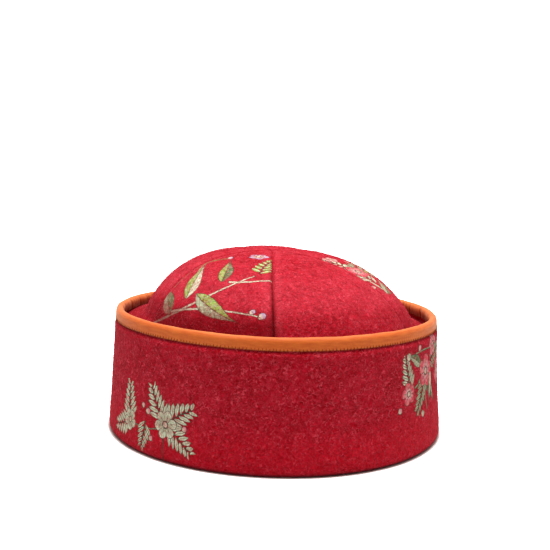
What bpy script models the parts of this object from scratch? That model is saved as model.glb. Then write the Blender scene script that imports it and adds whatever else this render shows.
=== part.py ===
"""Soft felt hat: a domed crown of five sewn panels inside a tall turned-up cuff with a bound top edge.

The hat stands on the fold at the foot of its cuff. +Z is up, -Y is the front, and the origin is the
middle of the foot. Lengths are in metres. An azimuth is in degrees: 0 is the front, 90 the +X side.
"""

from math import asin, cos, exp, pi, radians, sin

import bmesh
import bpy
from mathutils import Vector

# Outside of the foot, seen from above
FOOT_HALF_WIDTH = 0.0974
FOOT_HALF_DEPTH = 0.1022

# Walls, and the clearances between sewn pieces
CUFF_WALL = 0.0030
CROWN_WALL = 0.0025
SEAM_GAP = 0.0003
CROWN_CLEARANCE = 0.0008

# Cuff
CUFF_HEIGHT = 0.0694
CUFF_LEAN = 0.0047
CUFF_LEAN_BIAS = 0.0006
FOLD_RADIUS = 0.0026

# Binding over the cuff's top edge
BINDING_WALL = 0.0012
BINDING_DROP = 0.0068
BINDING_PINCH = 0.0013

# Trough between the cuff and the crown's dome
TROUGH_WIDTH = 0.0081
TROUGH_DEPTH = 0.0076
TROUGH_SLOPE_HEIGHT = 0.0082
TROUGH_BEND = 0.6

# Dome of the crown, measured from the cuff's mean height
DOME_START_DROP = 0.0194
DOME_TOP_RISE = 0.0337
APEX_OFFSET = -0.0041
DOME_SIDE_BIAS = 0.0021
DOME_TILT = 0.0005
DOME_FULLNESS = 2.76
DOME_PEAKEDNESS = 1.65

# Seams of the crown, deeper at the trough than at the top
SEAM_DEPTH_LOW = 0.0026
SEAM_DEPTH_HIGH = 0.0008
SEAM_WIDTH = 0.0045
PANEL_SWELL = 0.0010

# Waves of the cuff's top edge: how many crests go round, their height as a share of the
# cuff's height, and the azimuth of one crest
RIM_WAVES = (
    # crests, share, crest_azimuth
    (1, 0.0540, -4.0),
    (2, 0.0054, 90.0),
    (4, 0.0030, 45.0),
)

# Waves of the trough's depth, deepest towards the front
TROUGH_WAVES = (
    # crests, rise, crest_azimuth
    (1, 0.0019, 27.0),
    (2, 0.0007, -25.0),
    (3, 0.00035, -47.0),
)

# Crown panels, each from its own seam to the next one
PANELS = (
    # name, first_seam, next_seam
    ("crown_panel_front_right", 0.0, 72.0),
    ("crown_panel_right", 72.0, 144.0),
    ("crown_panel_back", 144.0, 219.0),
    ("crown_panel_left", 219.0, 292.0),
    ("crown_panel_front_left", 292.0, 360.0),
)

# Columns of a panel as shares of its width, closer together beside the seams
PANEL_COLUMNS = (0.0, 0.03, 0.08, 0.17, 0.33, 0.5, 0.67, 0.83, 0.92, 0.97, 1.0)

# Mesh steps
AROUND_STEPS = 60
WALL_STEPS = 5
FOLD_STEPS = 3
BINDING_STEPS = 6
SIDE_ROWS = 3
TROUGH_ROWS = 4
DOME_ROWS = 8

CROWN_INSET = CUFF_WALL + CROWN_CLEARANCE
CROWN_FOOT = CUFF_WALL + SEAM_GAP
DOME_HALF_WIDTH = FOOT_HALF_WIDTH - CUFF_LEAN - CUFF_WALL - TROUGH_WIDTH
DOME_HALF_DEPTH = FOOT_HALF_DEPTH - CUFF_LEAN - CUFF_WALL - TROUGH_WIDTH
DOME_START = CUFF_HEIGHT - DOME_START_DROP
DOME_TOP = CUFF_HEIGHT + DOME_TOP_RISE

FULL_TURN = 360.0
SHARP_ANGLE = 40.0
AZIMUTH_NUDGE = 0.5
CLIMB_NUDGE = 0.002


def clear_scene():
    """Removes the objects that the file opens with."""
    for old in list(bpy.data.objects):
        bpy.data.objects.remove(old, do_unlink=True)


def cloth_material(name, colour, roughness):
    """A plain cloth finish."""
    material = bpy.data.materials.new(name)
    material.use_nodes = True
    shader = material.node_tree.nodes["Principled BSDF"]
    shader.inputs["Base Color"].default_value = (*colour, 1.0)
    shader.inputs["Roughness"].default_value = roughness
    shader.inputs["Metallic"].default_value = 0.0
    return material


def smooth_step(share):
    """Eases from 0 to 1 as the share goes from 0 to 1."""
    share = min(max(share, 0.0), 1.0)
    return share * share * (3.0 - 2.0 * share)


def plan_point(half_width, half_depth, azimuth, height):
    """The point of a level oval at this azimuth."""
    turn = radians(azimuth)
    return Vector((half_width * sin(turn), -half_depth * cos(turn), height))


def foot_point(inset, azimuth, height):
    """The point that lies this far inside the foot's outline."""
    return plan_point(FOOT_HALF_WIDTH - inset, FOOT_HALF_DEPTH - inset, azimuth, height)


def rim_height(azimuth):
    """Height of the bound top edge."""
    wave = sum(share * cos(radians(crests * (azimuth - crest))) for crests, share, crest in RIM_WAVES)
    return CUFF_HEIGHT * (1.0 + wave)


def felt_top(azimuth):
    """Height of the cuff felt's own top edge, inside the binding."""
    return rim_height(azimuth) - BINDING_WALL - SEAM_GAP


def binding_foot(azimuth):
    """Height of the binding's lower edges."""
    return rim_height(azimuth) - BINDING_DROP


def cuff_inset(azimuth, height):
    """How far the cuff's outer face stands in from the foot's outline."""
    lean = CUFF_LEAN + CUFF_LEAN_BIAS * sin(radians(azimuth))
    return lean * height / rim_height(azimuth)


def cuff_section(azimuth):
    """Closed section of the cuff as (inset, height): up the outside, down the inside, round the fold."""
    top = felt_top(azimuth)
    waist = binding_foot(azimuth) - SEAM_GAP
    wall_top = waist - BINDING_PINCH
    rise = (wall_top - FOLD_RADIUS) / WALL_STEPS
    heights = [FOLD_RADIUS + rise * step for step in range(WALL_STEPS + 1)]
    outside = [(cuff_inset(azimuth, height), height) for height in heights]
    outside += [(cuff_inset(azimuth, height) + BINDING_PINCH, height) for height in (waist, top)]
    inside = [(cuff_inset(azimuth, height) + CUFF_WALL, height) for height in (top, *reversed(heights[1:]))]
    lip = cuff_inset(azimuth, CROWN_FOOT) + CROWN_INSET + CROWN_WALL
    ledge = [
        (cuff_inset(azimuth, CUFF_WALL) + CUFF_WALL, CUFF_WALL),
        (lip, CUFF_WALL),
        (lip, 0.0),
    ]
    fold_middle = cuff_inset(azimuth, FOLD_RADIUS) + FOLD_RADIUS
    fold = []
    for step in range(FOLD_STEPS):
        turn = 0.5 * pi * step / FOLD_STEPS
        fold.append((fold_middle - FOLD_RADIUS * sin(turn), FOLD_RADIUS * (1.0 - cos(turn))))
    return outside + inside + ledge + fold


def binding_section(azimuth):
    """Closed section of the binding as (inset, height): over the top, then back along its channel."""
    top = felt_top(azimuth)
    foot = binding_foot(azimuth)
    felt = CUFF_WALL - BINDING_PINCH
    crest = cuff_inset(azimuth, top) + BINDING_PINCH
    low = cuff_inset(azimuth, foot) + BINDING_PINCH
    outside = SEAM_GAP + BINDING_WALL
    inside = felt + outside
    middle = crest + 0.5 * felt
    spring = top - BINDING_WALL
    roll = [(low - outside, foot)]
    for step in range(BINDING_STEPS + 1):
        turn = pi * step / BINDING_STEPS
        reach = 0.5 * felt + outside
        roll.append((middle - reach * cos(turn), spring + (rim_height(azimuth) - spring) * sin(turn)))
    roll.append((low + inside, foot))
    channel = [
        (low + felt + SEAM_GAP, foot),
        (crest + felt + SEAM_GAP, top + SEAM_GAP),
        (crest - SEAM_GAP, top + SEAM_GAP),
        (low - SEAM_GAP, foot),
    ]
    return roll + channel


def finish_object(name, maker, material):
    """Makes a named object from a bmesh, with its faces pointing out."""
    bmesh.ops.recalc_face_normals(maker, faces=maker.faces)
    mesh = bpy.data.meshes.new(name)
    maker.to_mesh(mesh)
    maker.free()
    mesh.materials.append(material)
    mesh.shade_smooth()
    mesh.set_sharp_from_angle(angle=radians(SHARP_ANGLE))
    made = bpy.data.objects.new(name, mesh)
    bpy.context.scene.collection.objects.link(made)


def make_ring(name, section, material):
    """A ring that follows the foot's oval, with this closed section at every azimuth."""
    maker = bmesh.new()
    loops = []
    for step in range(AROUND_STEPS):
        azimuth = FULL_TURN * step / AROUND_STEPS
        points = [foot_point(inset, azimuth, height) for inset, height in section(azimuth)]
        loops.append([maker.verts.new(point) for point in points])
    for loop, following in zip(loops, loops[1:] + loops[:1]):
        for index in range(len(loop)):
            after = (index + 1) % len(loop)
            maker.faces.new((loop[index], loop[after], following[after], following[index]))
    finish_object(name, maker, material)


def trough_slope(azimuth):
    """(low, high): the heights between which the crown's wall turns in towards the dome."""
    wave = sum(rise * cos(radians(crests * (azimuth - crest))) for crests, rise, crest in TROUGH_WAVES)
    middle = rim_height(azimuth) - TROUGH_DEPTH - wave
    return middle - 0.5 * TROUGH_SLOPE_HEIGHT, middle + 0.5 * TROUGH_SLOPE_HEIGHT


def dome_turn(height):
    """Angle up the dome's arc at this height, 0 at its start and a right angle at the top."""
    rise = max(height - DOME_START, 0.0) / (DOME_TOP - DOME_START)
    return asin(rise ** (0.5 * DOME_PEAKEDNESS))


def dome_point(azimuth, turn, height):
    """Point of the dome at this angle up its arc, at this height before its tilt."""
    side = sin(radians(azimuth))
    reach = max(cos(turn), 0.0) ** (2.0 / DOME_FULLNESS)
    bias = DOME_SIDE_BIAS * side
    width = (DOME_HALF_WIDTH + bias) * reach
    depth = (DOME_HALF_DEPTH + bias) * reach
    point = plan_point(width, depth, azimuth, height)
    point.x += APEX_OFFSET * max(height - DOME_START, 0.0) / (DOME_TOP - DOME_START)
    point.z -= DOME_TILT * side * 4.0 * reach * (1.0 - reach)
    return point


def crown_surface(azimuth, climb):
    """Point of the crown's plain outer face: climb 0 to 1 is the wall, 1 to 2 the trough, 2 to 3 the dome."""
    low, high = trough_slope(azimuth)
    if climb > 2.0:
        start = dome_turn(high)
        turn = start + (0.5 * pi - start) * (climb - 2.0)
        height = DOME_START + (DOME_TOP - DOME_START) * sin(turn) ** (2.0 / DOME_PEAKEDNESS)
        return dome_point(azimuth, turn, height)
    if climb > 1.0:
        share = climb - 1.0 + TROUGH_BEND * sin(2.0 * pi * (climb - 1.0)) / (2.0 * pi)
        height = low + (high - low) * share
    else:
        height = CROWN_FOOT + (low - CROWN_FOOT) * climb
    wall = foot_point(cuff_inset(azimuth, height) + CROWN_INSET, azimuth, height)
    dome = dome_point(azimuth, dome_turn(height), height)
    return wall.lerp(dome, smooth_step(climb - 1.0))


def crown_normal(azimuth, climb):
    """Outward normal of the crown's plain outer face."""
    below = max(climb - CLIMB_NUDGE, 0.0)
    upward = crown_surface(azimuth, below + CLIMB_NUDGE) - crown_surface(azimuth, below)
    onward = crown_surface(azimuth + AZIMUTH_NUDGE, climb) - crown_surface(azimuth - AZIMUTH_NUDGE, climb)
    return onward.cross(upward).normalized()


def crown_radius(azimuth, climb):
    """Distance from the crown's own axis to its face, measured level."""
    across = crown_surface(azimuth, climb) - crown_surface(azimuth + 0.5 * FULL_TURN, climb)
    return 0.5 * across.to_2d().length


def panel_point(first, last, share, climb, depth):
    """Point of a panel: share runs from its first seam to its last, depth goes in through the wall."""
    half_angle = 0.5 * (last - first)
    radius = crown_radius(first + (last - first) * share, climb)
    gap_share = min(0.5 * SEAM_GAP / radius / sin(radians(half_angle)), 1.0)
    clear_angle = half_angle - asin(gap_share * sin(radians(half_angle))) * FULL_TURN / (2.0 * pi)
    azimuth = 0.5 * (first + last) + clear_angle * (2.0 * share - 1.0)
    near = min(share, 1.0 - share) * 2.0 * radians(half_angle) * radius
    domed = smooth_step(climb - 1.0)
    narrowed = min(radius / DOME_HALF_WIDTH, 1.0)
    seam_depth = SEAM_DEPTH_LOW + (SEAM_DEPTH_HIGH - SEAM_DEPTH_LOW) * max(climb - 2.0, 0.0)
    dip = domed * narrowed * seam_depth * exp(-((near / SEAM_WIDTH) ** 2))
    swell = domed * narrowed * PANEL_SWELL * sin(pi * share)
    return crown_surface(azimuth, climb) + crown_normal(azimuth, climb) * (swell - dip - depth)


def tip_climb(first, last):
    """The climb at which a panel has narrowed to its tip."""
    tip_radius = 0.5 * SEAM_GAP / sin(radians(0.5 * (last - first)))
    low_turn = dome_turn(trough_slope(0.5 * (first + last))[1])
    tip_turn = 0.5 * pi - asin((tip_radius / DOME_HALF_WIDTH) ** (0.5 * DOME_FULLNESS))
    return 2.0 + (tip_turn - low_turn) / (0.5 * pi - low_turn)


def panel_side(maker, first, last, climbs, depth):
    """One face of a panel: its rows of vertices, and the single vertex at its tip."""
    rows = [
        [maker.verts.new(panel_point(first, last, share, climb, depth)) for share in PANEL_COLUMNS]
        for climb in climbs
    ]
    tip = maker.verts.new(panel_point(first, last, 0.5, tip_climb(first, last), depth))
    for row, above in zip(rows, rows[1:]):
        for column in range(len(row) - 1):
            maker.faces.new((row[column], row[column + 1], above[column + 1], above[column]))
    for column in range(len(PANEL_COLUMNS) - 1):
        maker.faces.new((rows[-1][column], rows[-1][column + 1], tip))
    return rows, tip


def make_panel(name, first, last, material):
    """One panel of the crown: a thin curved wall between two seams that narrows to a tip at the top."""
    climbs = [step / SIDE_ROWS for step in range(SIDE_ROWS)]
    climbs += [1.0 + step / TROUGH_ROWS for step in range(TROUGH_ROWS)]
    climbs += [2.0 + step / DOME_ROWS for step in range(DOME_ROWS)]
    maker = bmesh.new()
    outer_rows, outer_tip = panel_side(maker, first, last, climbs, 0.0)
    inner_rows, inner_tip = panel_side(maker, first, last, climbs, CROWN_WALL)
    edges = [(outer_rows[0], inner_rows[0])]
    for column in (0, -1):
        outer = [row[column] for row in outer_rows] + [outer_tip]
        inner = [row[column] for row in inner_rows] + [inner_tip]
        edges.append((outer, inner))
    for outer, inner in edges:
        for index in range(len(outer) - 1):
            maker.faces.new((outer[index], outer[index + 1], inner[index + 1], inner[index]))
    finish_object(name, maker, material)


def main():
    clear_scene()
    felt = cloth_material("felt", (0.40, 0.012, 0.020), 0.92)
    satin = cloth_material("binding", (0.78, 0.19, 0.035), 0.45)
    make_ring("cuff", cuff_section, felt)
    make_ring("cuff_binding", binding_section, satin)
    for name, first, last in PANELS:
        make_panel(name, first, last, felt)


main()
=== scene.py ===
"""Looks of a soft felt hat: a panelled crown inside a turned-up cuff with a bound edge.

Lengths are in metres and azimuths in radians unless a name says otherwise. Azimuth 0 is the front
(-Y) and a quarter turn is the +X side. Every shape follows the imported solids' own rules.
"""

from math import cos, pi, radians, sin

import bpy
import numpy as np
from mathutils import Matrix, Vector


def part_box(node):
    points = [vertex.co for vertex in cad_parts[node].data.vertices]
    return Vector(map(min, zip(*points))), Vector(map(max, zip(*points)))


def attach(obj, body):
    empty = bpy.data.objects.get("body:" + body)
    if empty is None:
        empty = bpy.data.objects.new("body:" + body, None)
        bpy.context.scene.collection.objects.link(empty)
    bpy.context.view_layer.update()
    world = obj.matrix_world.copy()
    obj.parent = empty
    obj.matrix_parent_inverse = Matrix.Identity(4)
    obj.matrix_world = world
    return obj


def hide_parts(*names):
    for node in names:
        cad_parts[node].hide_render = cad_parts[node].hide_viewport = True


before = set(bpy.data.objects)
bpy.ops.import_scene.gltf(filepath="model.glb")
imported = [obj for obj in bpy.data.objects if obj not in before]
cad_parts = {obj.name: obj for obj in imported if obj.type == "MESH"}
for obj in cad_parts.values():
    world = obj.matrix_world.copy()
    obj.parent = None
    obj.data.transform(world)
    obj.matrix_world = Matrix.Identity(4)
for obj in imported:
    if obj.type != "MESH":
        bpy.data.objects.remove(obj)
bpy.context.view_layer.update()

MM = 0.001
FULL_TURN = 2.0 * pi

# The hat's sizes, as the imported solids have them
CUFF_LOW, CUFF_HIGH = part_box("cuff")
FOLD_INSET = 0.2 * MM  # how far the fold, the cuff's widest line, stands in from the foot's outline
FOOT_HALF_WIDTH = 0.5 * (CUFF_HIGH[0] - CUFF_LOW[0]) + FOLD_INSET
FOOT_HALF_DEPTH = 0.5 * (CUFF_HIGH[1] - CUFF_LOW[1]) + FOLD_INSET
CUFF_WALL = 3.0 * MM
CROWN_WALL = 2.5 * MM
CROWN_CLEARANCE = 0.8 * MM
CUFF_HEIGHT = 69.4 * MM
CUFF_LEAN = 4.7 * MM
CUFF_LEAN_BIAS = 0.6 * MM
FOLD_RADIUS = 2.6 * MM
BINDING_WALL = 1.2 * MM
BINDING_DROP = 6.8 * MM
BINDING_PINCH = 1.3 * MM
SEAM_GAP = 0.3 * MM
TROUGH_WIDTH = 8.1 * MM
TROUGH_DEPTH = 7.6 * MM
TROUGH_SLOPE_HEIGHT = 8.2 * MM
TROUGH_BEND = 0.6
DOME_START_DROP = 19.4 * MM
DOME_TOP_RISE = 33.7 * MM
APEX_OFFSET = -4.1 * MM
DOME_SIDE_BIAS = 2.1 * MM
DOME_TILT = 0.5 * MM
DOME_FULLNESS = 2.76
DOME_PEAKEDNESS = 1.65
SEAM_DEPTH_LOW = 2.6 * MM
SEAM_DEPTH_HIGH = 0.8 * MM
SEAM_WIDTH = 4.5 * MM
PANEL_SWELL = 1.0 * MM
RIM_WAVES = (
    # crests, share of the cuff's height, crest azimuth in degrees
    (1, 0.0540, -4.0),
    (2, 0.0054, 90.0),
    (4, 0.0030, 45.0),
)
TROUGH_WAVES = (
    # crests, rise, crest azimuth in degrees
    (1, 1.9 * MM, 27.0),
    (2, 0.7 * MM, -25.0),
    (3, 0.35 * MM, -47.0),
)
CROWN_INSET = CUFF_WALL + CROWN_CLEARANCE
CROWN_FOOT = CUFF_WALL + SEAM_GAP
DOME_HALF_WIDTH = FOOT_HALF_WIDTH - CUFF_LEAN - CUFF_WALL - TROUGH_WIDTH
DOME_HALF_DEPTH = FOOT_HALF_DEPTH - CUFF_LEAN - CUFF_WALL - TROUGH_WIDTH
DOME_START = CUFF_HEIGHT - DOME_START_DROP
DOME_TOP = CUFF_HEIGHT + DOME_TOP_RISE

# The camera that fits the photograph's outline
CAMERA_DISTANCE = 0.679
CAMERA_ELEVATION = 13.0
CAMERA_TARGET_HEIGHT = 43.65 * MM
CAMERA_ROLL = 1.71
CAMERA_LENS_MM = 75.4
CAMERA_SHIFT = (-0.0025, 0.1374)

# What lifts the inner faces' cloth coordinate clear of the outer faces' shades and print
INNER_SHIFT = 1.0

# The felting's lumps and the soft unevenness of a sewn wall
LUMPS = (
    # size, depth
    (1.7 * MM, 0.05 * MM),
    (4.5 * MM, 0.09 * MM),
    (38.0 * MM, 0.42 * MM),
)


# Arrays


def smooth(share):
    """Eases from 0 to 1 as the share goes from 0 to 1."""
    share = np.clip(share, 0.0, 1.0)
    return share * share * (3.0 - 2.0 * share)


def bell(distance, width):
    """1 at no distance, and fading to nothing past this width."""
    return np.exp(-((distance / width) ** 2))


def lattice(cell, seed):
    """A repeatable random number from -1 to 1 for each whole-number cell."""
    key = cell[..., 0] * 73856093 ^ cell[..., 1] * 19349663 ^ cell[..., 2] * 83492791 ^ seed * 2654435761
    key = (key ^ (key >> 13)) * 1274126177 & 0x7FFFFFFF
    key = (key ^ (key >> 15)) * 40503 & 0x7FFFFFFF
    return (key & 0xFFFF) / 32767.5 - 1.0


def noise(points, size, seed):
    """Smooth noise from -1 to 1 with lumps about this size."""
    scaled = points / size
    cell = np.floor(scaled).astype(np.int64)
    share = smooth(scaled - cell)
    total = np.zeros(points.shape[:-1])
    for corner in np.ndindex(2, 2, 2):
        step = np.array(corner)
        weight = np.where(step == 1, share, 1.0 - share).prod(axis=-1)
        total += weight * lattice(cell + step, seed)
    return total


def felt_relief(points, seed):
    """Height of the felt's lumps at these points."""
    return sum(depth * noise(points, size, seed + index) for index, (size, depth) in enumerate(LUMPS))


def distances(line):
    """How far along a line of points each one lies."""
    return np.concatenate([[0.0], np.cumsum(np.linalg.norm(np.diff(line, axis=0), axis=1))])


def grid_normals(grid):
    """Unit normals of a grid of points, from its rows and its columns."""
    along = np.gradient(grid, axis=0)
    across = np.gradient(grid, axis=1)
    return unit(np.cross(across, along))


# The hat's surfaces


def plan_point(half_width, half_depth, azimuth, height):
    """The point of a level oval at this azimuth."""
    return np.stack(
        np.broadcast_arrays(half_width * np.sin(azimuth), -half_depth * np.cos(azimuth), height), axis=-1
    )


def foot_point(inset, azimuth, height):
    """The point that lies this far inside the foot's outline."""
    return plan_point(FOOT_HALF_WIDTH - inset, FOOT_HALF_DEPTH - inset, azimuth, height)


def waves(table, azimuth):
    """What a table's waves round the hat add up to at this azimuth."""
    return sum(rise * np.cos(crests * (azimuth - radians(crest))) for crests, rise, crest in table)


def rim_height(azimuth):
    """Height of the bound top edge."""
    return CUFF_HEIGHT * (1.0 + waves(RIM_WAVES, azimuth))


def felt_top(azimuth):
    """Height of the cuff felt's own top edge, inside the binding."""
    return rim_height(azimuth) - BINDING_WALL - SEAM_GAP


def binding_foot(azimuth):
    """Height of the binding's lower edges."""
    return rim_height(azimuth) - BINDING_DROP


def cuff_inset(azimuth, height):
    """How far the cuff's outer face stands in from the foot's outline."""
    lean = CUFF_LEAN + CUFF_LEAN_BIAS * np.sin(azimuth)
    return lean * height / rim_height(azimuth)


def trough_slope(azimuth):
    """(low, high): the heights between which the crown's wall turns in towards the dome."""
    middle = rim_height(azimuth) - TROUGH_DEPTH - waves(TROUGH_WAVES, azimuth)
    return middle - 0.5 * TROUGH_SLOPE_HEIGHT, middle + 0.5 * TROUGH_SLOPE_HEIGHT


def dome_rise(height):
    """Share of the dome's own height that lies below this height."""
    return np.maximum(height - DOME_START, 0.0) / (DOME_TOP - DOME_START)


def dome_turn(height):
    """Angle up the dome's arc at this height, 0 at its start and a right angle at the top."""
    return np.arcsin(np.minimum(dome_rise(height), 1.0) ** (0.5 * DOME_PEAKEDNESS))


def dome_point(azimuth, turn, height):
    """Point of the dome at this angle up its arc, at this height before its tilt."""
    side = np.sin(azimuth)
    reach = np.maximum(np.cos(turn), 0.0) ** (2.0 / DOME_FULLNESS)
    bias = DOME_SIDE_BIAS * side
    point = plan_point((DOME_HALF_WIDTH + bias) * reach, (DOME_HALF_DEPTH + bias) * reach, azimuth, height)
    point[..., 0] += APEX_OFFSET * dome_rise(height)
    point[..., 2] -= DOME_TILT * side * 4.0 * reach * (1.0 - reach)
    return point


def crown_surface(azimuth, climb):
    """Point of the crown's plain outer face. As climb goes from 0 to 3, it goes up the wall, then over
    the trough, then up the dome."""
    azimuth, climb = np.broadcast_arrays(azimuth, climb)
    low, high = trough_slope(azimuth)
    start = dome_turn(high)
    turn = start + (0.5 * pi - start) * np.clip(climb - 2.0, 0.0, 1.0)
    dome_height = DOME_START + (DOME_TOP - DOME_START) * np.sin(turn) ** (2.0 / DOME_PEAKEDNESS)
    wall_height = CROWN_FOOT + (low - CROWN_FOOT) * climb
    share = climb - 1.0 + TROUGH_BEND * np.sin(FULL_TURN * (climb - 1.0)) / FULL_TURN
    slope_height = low + (high - low) * share
    height = np.where(climb > 2.0, dome_height, np.where(climb > 1.0, slope_height, wall_height))
    wall = foot_point(cuff_inset(azimuth, height) + CROWN_INSET, azimuth, height)
    dome = dome_point(azimuth, np.where(climb > 2.0, turn, dome_turn(height)), height)
    domed = smooth(climb - 1.0)[..., None]
    return wall * (1.0 - domed) + dome * domed


# Meshes


def add_object(name, data):
    """An object in the scene, made from a mesh, a lamp or a camera."""
    made = bpy.data.objects.new(name, data)
    bpy.context.scene.collection.objects.link(made)
    return made


def mesh_object(name, points, faces, materials, slots=None):
    """A smooth mesh object from an array of points and arrays of faces, each array with its own width."""
    corners = np.concatenate([group.ravel() for group in faces])
    widths = np.concatenate([np.full(len(group), group.shape[1]) for group in faces])
    mesh = bpy.data.meshes.new(name)
    mesh.vertices.add(len(points))
    mesh.vertices.foreach_set("co", points.astype(np.float32).ravel())
    mesh.loops.add(len(corners))
    mesh.loops.foreach_set("vertex_index", corners.astype(np.int32))
    mesh.polygons.add(len(widths))
    mesh.polygons.foreach_set("loop_start", (np.cumsum(widths) - widths).astype(np.int32))
    for material in materials:
        mesh.materials.append(material)
    if slots is not None:
        mesh.polygons.foreach_set("material_index", slots.astype(np.int32))
    mesh.update(calc_edges=True)
    mesh.shade_smooth()
    return add_object(name, mesh)


def set_uv(piece, corner_uv, name="cloth"):
    """Gives a piece a UV map that its material reads, one pair for each face corner."""
    layer = piece.data.uv_layers.new(name=name)
    layer.data.foreach_set("uv", np.asarray(corner_uv, dtype=np.float32).ravel())


def grid_quads(rows, columns, closed=False):
    """Faces of a grid of points numbered row by row, and the (row, column) steps of their corners."""
    ends = 0 if closed else 1
    row, column = np.meshgrid(np.arange(rows - ends), np.arange(columns - ends), indexing="ij")
    corners = ((0, 0), (0, 1), (1, 1), (1, 0))
    steps = [np.stack([row.ravel() + down, column.ravel() + over], axis=-1) for down, over in corners]
    steps = np.stack(steps, axis=1)
    return (steps[..., 0] % rows) * columns + steps[..., 1] % columns, steps


def settle(piece, node=None):
    """Ties a piece to the hat, and hides the solid that it stands for."""
    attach(piece, "root")
    if node:
        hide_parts(node)


def unit(vectors):
    """Vectors at length 1."""
    return vectors / np.maximum(np.linalg.norm(vectors, axis=-1, keepdims=True), 1e-12)


def make_strands(name, paths, radii, out, sides, materials, tones=None):
    """Closed threads along paths of (strand, ring, point), in one mesh. Tones pick their materials."""
    strands, rings = paths.shape[:2]
    tangent = unit(np.gradient(paths, axis=1))
    second = unit(np.cross(tangent, out[:, None]))
    first = np.cross(second, tangent)
    turn = FULL_TURN * np.arange(sides) / sides
    circle = first[:, :, None] * np.cos(turn)[:, None] + second[:, :, None] * np.sin(turn)[:, None]
    radii = np.broadcast_to(radii, paths.shape[:2])
    points = paths[:, :, None] + circle * radii[..., None, None]
    ring, side = np.meshgrid(np.arange(rings - 1), np.arange(sides), indexing="ij")
    here = (ring * sides + side).ravel()
    beside = (ring * sides + (side + 1) % sides).ravel()
    tube = np.stack([here, beside, beside + sides, here + sides], axis=-1)
    starts = np.arange(strands) * rings * sides
    quads = (starts[:, None, None] + tube).reshape(-1, 4)
    cap = np.arange(sides)
    low = starts[:, None] + cap[::-1]
    high = starts[:, None] + (rings - 1) * sides + cap
    slots = None if tones is None else np.concatenate([np.repeat(tones, len(tube)), tones, tones])
    settle(mesh_object(name, points.reshape(-1, 3), [quads, low, high], materials, slots))


# Shader wires: a node's output that adds, multiplies and compares like a number


class Wire:
    """One output in a node tree. Arithmetic on wires adds Math nodes."""

    def __init__(self, tree, socket):
        self.tree = tree
        self.socket = socket

    def __add__(self, other):
        return sums(self, other, "ADD")

    def __sub__(self, other):
        return sums(self, other, "SUBTRACT")

    def __rsub__(self, other):
        return sums(other, self, "SUBTRACT")

    def __mul__(self, other):
        return sums(self, other, "MULTIPLY")

    def __truediv__(self, other):
        return sums(self, other, "DIVIDE")

    __radd__ = __add__


def fill(node, inputs):
    """Feeds a node's inputs, by name or number, with a wire or a plain value each."""
    for key, value in inputs.items():
        if isinstance(value, Wire):
            node.id_data.links.new(value.socket, node.inputs[key])
        else:
            node.inputs[key].default_value = value


def wired(tree, kind, output, inputs=None, **settings):
    """A wire from this output of a new node with these settings and inputs."""
    node = tree.nodes.new("ShaderNode" + kind)
    for setting, value in settings.items():
        setattr(node, setting, value)
    fill(node, inputs or {})
    return Wire(tree, node.outputs[output])


def sums(first, second, operation):
    """A Math node on two values, at least one of them a wire."""
    tree = first.tree if isinstance(first, Wire) else second.tree
    return wired(tree, "Math", 0, {0: first, 1: second}, operation=operation)


def scale_add(wire, factor, rest):
    """A wire times a factor, plus a number or a wire."""
    return wired(wire.tree, "Math", 0, {0: wire, 1: factor, 2: rest}, operation="MULTIPLY_ADD")


def apply(wire, operation):
    """A Math node on one wire."""
    return wired(wire.tree, "Math", 0, {0: wire}, operation=operation)


def eased(wire, low, high):
    """0 below low and 1 above high, eased in between. High may be the lower one, which turns it round."""
    inputs = {"Value": wire, "From Min": low, "From Max": high}
    return wired(wire.tree, "MapRange", "Result", inputs, interpolation_type="SMOOTHSTEP")


def split(vector):
    """The three parts of a vector wire."""
    first = wired(vector.tree, "SeparateXYZ", 0, {0: vector})
    return tuple(Wire(vector.tree, output) for output in first.socket.node.outputs)


def join(first, second, third):
    """A vector wire from three parts, the first of them a wire."""
    return wired(first.tree, "CombineXYZ", 0, {0: first, 1: second, 2: third})


def vector_sum(first, second, operation="ADD"):
    """A Vector Math node on two values, the first of them a wire."""
    return wired(first.tree, "VectorMath", 0, {0: first, 1: second}, operation=operation)


def scaled(vector, factor):
    """A vector wire times a number."""
    return wired(vector.tree, "VectorMath", 0, {0: vector, "Scale": factor}, operation="SCALE")


def noise_wire(vector, size, detail=2.0, roughness=0.5, output=0):
    """Noise from 0 to 1 with lumps about this size. Output 1 has three such numbers, as a vector."""
    inputs = {"Vector": vector, "Scale": 1.0 / size, "Detail": detail, "Roughness": roughness}
    return wired(vector.tree, "TexNoise", output, inputs)


def strayed(vector, size, reach, detail):
    """A place moved by noise of this size, by up to half of this reach each way."""
    stray = vector_sum(noise_wire(vector, size, detail, output=1), (0.5, 0.5, 0.5), "SUBTRACT")
    return vector_sum(vector, scaled(stray, reach))


def mixed(share, first, second):
    """A colour between two colours, each a wire or (red, green, blue)."""
    first, second = (end if isinstance(end, Wire) else (*end, 1.0) for end in (first, second))
    inputs = {"Factor": share, "A": first, "B": second}
    return wired(share.tree, "Mix", "Result", inputs, data_type="RGBA")


def layered(colour, *layers):
    """A colour with paints laid over it in turn, each by its own share."""
    for share, paint in layers:
        colour = mixed(share, colour, paint)
    return colour


def new_material(name):
    """A material with a Principled shader, and that shader."""
    material = bpy.data.materials.new(name)
    material.use_nodes = True
    return material, material.node_tree.nodes["Principled BSDF"]


def texture_wire(tree, output):
    """A wire from the Texture Coordinate node."""
    return wired(tree, "TexCoord", output)


def uv_wire(tree, name="cloth"):
    """Coordinates that the piece carries, in metres."""
    return wired(tree, "UVMap", 0, uv_map=name)


def relief_wire(height, distance):
    """A shader's normal over a surface that rises by this distance as the height goes from 0 to 1."""
    return wired(height.tree, "Bump", 0, {"Strength": 1.0, "Distance": distance, "Height": height})


# Printed plants: a generic design of round blossoms, oval-leafed sprigs, broad leaves, berries and stems

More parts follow.
